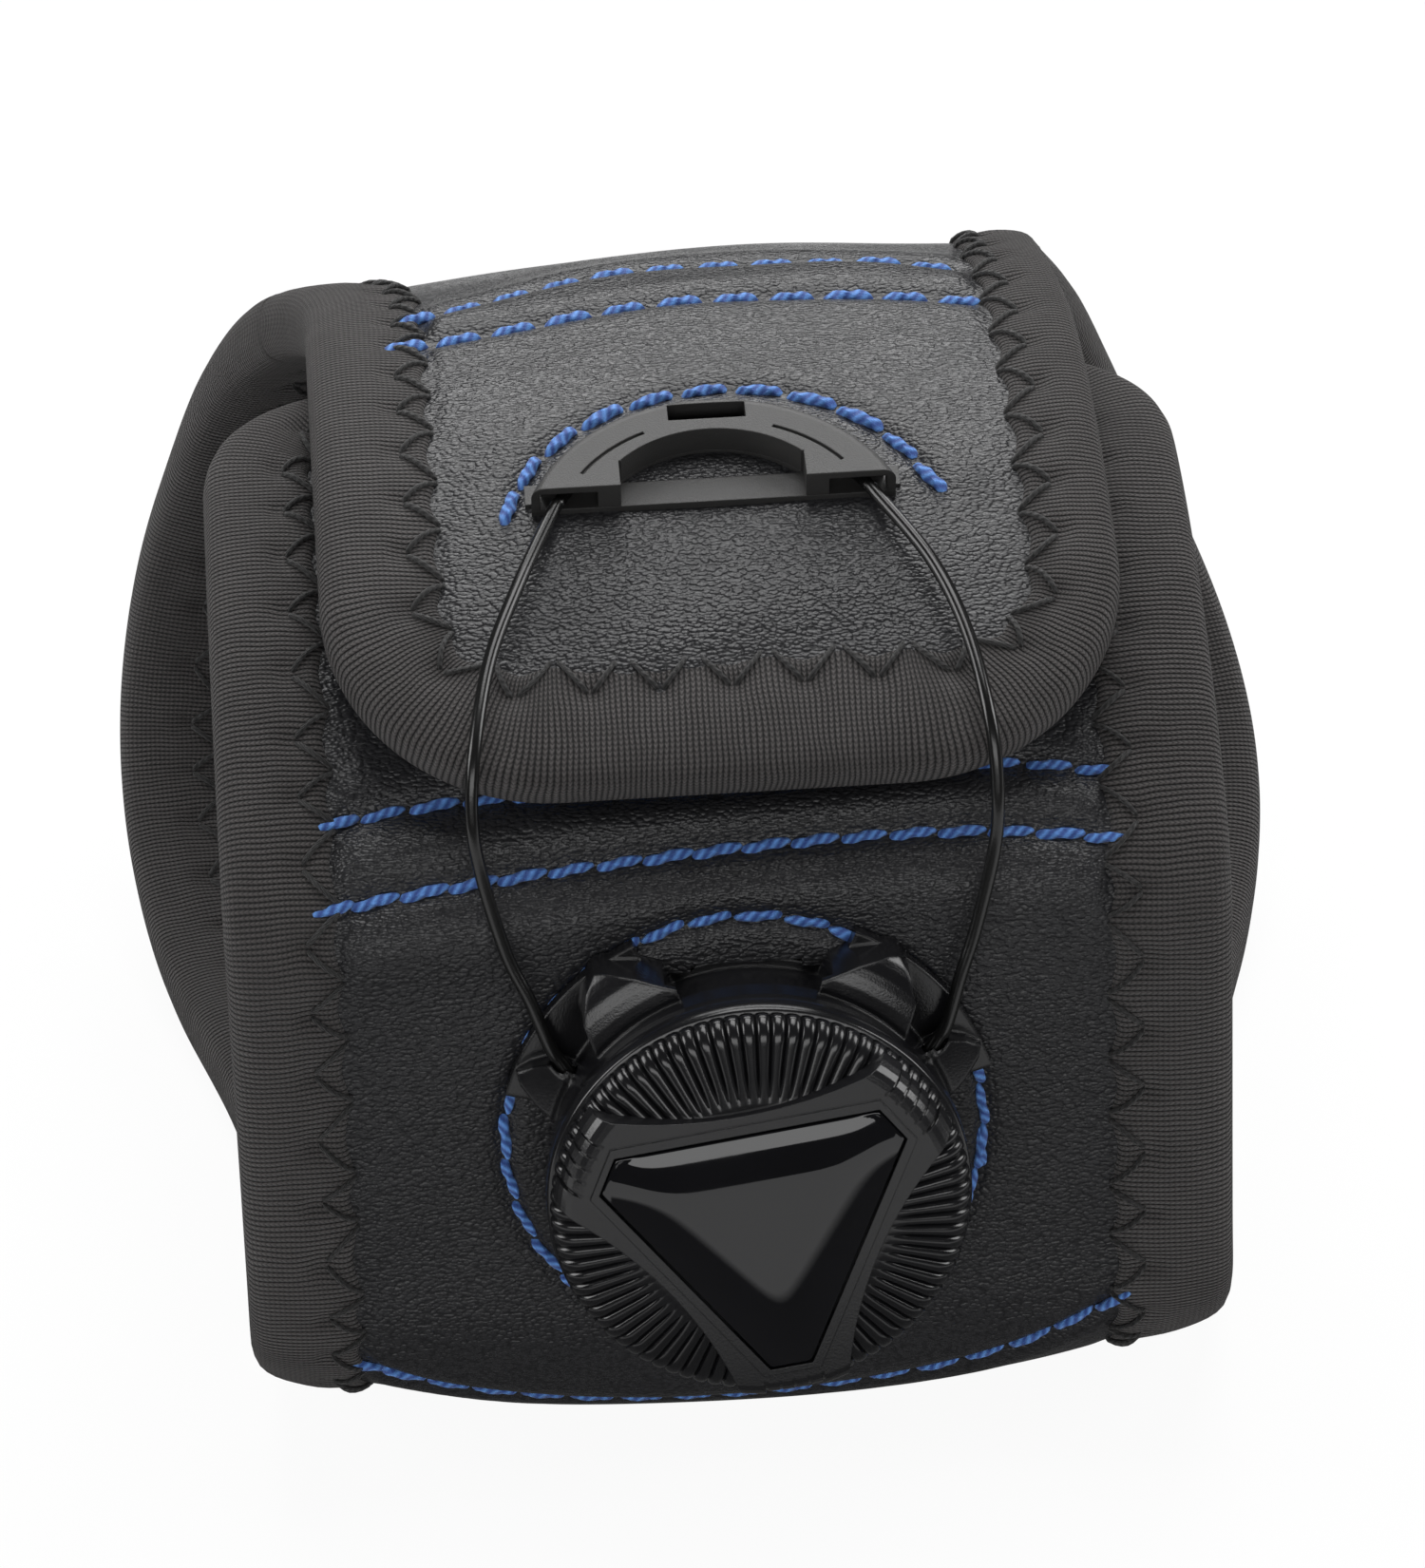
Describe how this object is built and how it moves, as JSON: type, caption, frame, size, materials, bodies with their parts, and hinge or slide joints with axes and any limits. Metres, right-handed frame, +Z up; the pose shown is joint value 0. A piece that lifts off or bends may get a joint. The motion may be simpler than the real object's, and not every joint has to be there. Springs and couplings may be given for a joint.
{
  "type": "padded limb strap with lace dial",
  "caption": "Padded loop strap for a limb, faced in synthetic leather, drawn tight by a lace that a ratchet dial winds from a guide on its flap.",
  "frame": {"origin": "on the resting surface, below the centre of the strap's box", "axes": "+X along the loop's axis, -Y towards the dial, +Z up"},
  "size_m": [0.096, 0.1037, 0.0738],
  "materials": {
    "facing": "black synthetic leather with a fine pebble grain",
    "foam": "black foam padding",
    "lining": "black knitted lining",
    "binding": "black ribbed knit tape",
    "housing": "satin black moulded plastic",
    "ratchet": "stamped steel",
    "spool": "natural nylon",
    "bush": "natural acetal",
    "screw": "steel",
    "knob": "gloss black",
    "frame": "satin black",
    "inlay": "polished black",
    "guide": "matt black nylon",
    "lace": "smooth black coated cord"
  },
  "bodies": {
    "strap": {"band_lining": "lining", "band_pad": "foam", "band_facing": "facing", "band_binding": "binding", "dial_base": "housing", "ratchet_ring": "ratchet", "axle_screw": "screw", "lace_tail_left": "lace", "lace_tail_right": "lace", "lace_left": "lace", "lace_right": "lace"},
    "flap": {"flap_lining": "lining", "flap_pad": "foam", "flap_facing": "facing", "flap_binding": "binding", "guide_base": "guide", "guide_cover": "guide", "guide_lace": "lace"},
    "carrier": {"detent_bush": "bush"},
    "knob": {"knob_shell": "knob", "knob_frame": "frame", "knob_inlay": "inlay", "pawl_ring": "spool"},
    "spool": {"spool": "spool", "lace_winding": "lace"}
  },
  "joints": [
    {"name": "flap_lift", "type": "hinge", "parent": "strap", "child": "flap", "pos_m": [0, 0.02951, 0.06776], "axis": [-1, 0, 0], "range_deg": [0, 30], "deforming": ["lace_left", "lace_right"]},
    {"name": "knob_pull", "type": "slide", "parent": "strap", "child": "carrier", "axis": [0, -0.9848, 0.1736], "range_m": [0, 0.0025]},
    {"name": "knob_turn", "type": "hinge", "parent": "carrier", "child": "knob", "pos_m": [0, -0.03604, 0.03073], "axis": [0, -0.9848, 0.1736], "continuous": true, "deforming": ["pawl_ring"]},
    {"name": "spool_turn", "type": "hinge", "parent": "strap", "child": "spool", "pos_m": [0, -0.03604, 0.03073], "axis": [0, -0.9848, 0.1736], "continuous": true}
  ],
  "couplings": [
    {"joint": "spool_turn", "follows": "knob_turn", "ratio": 1}
  ]
}
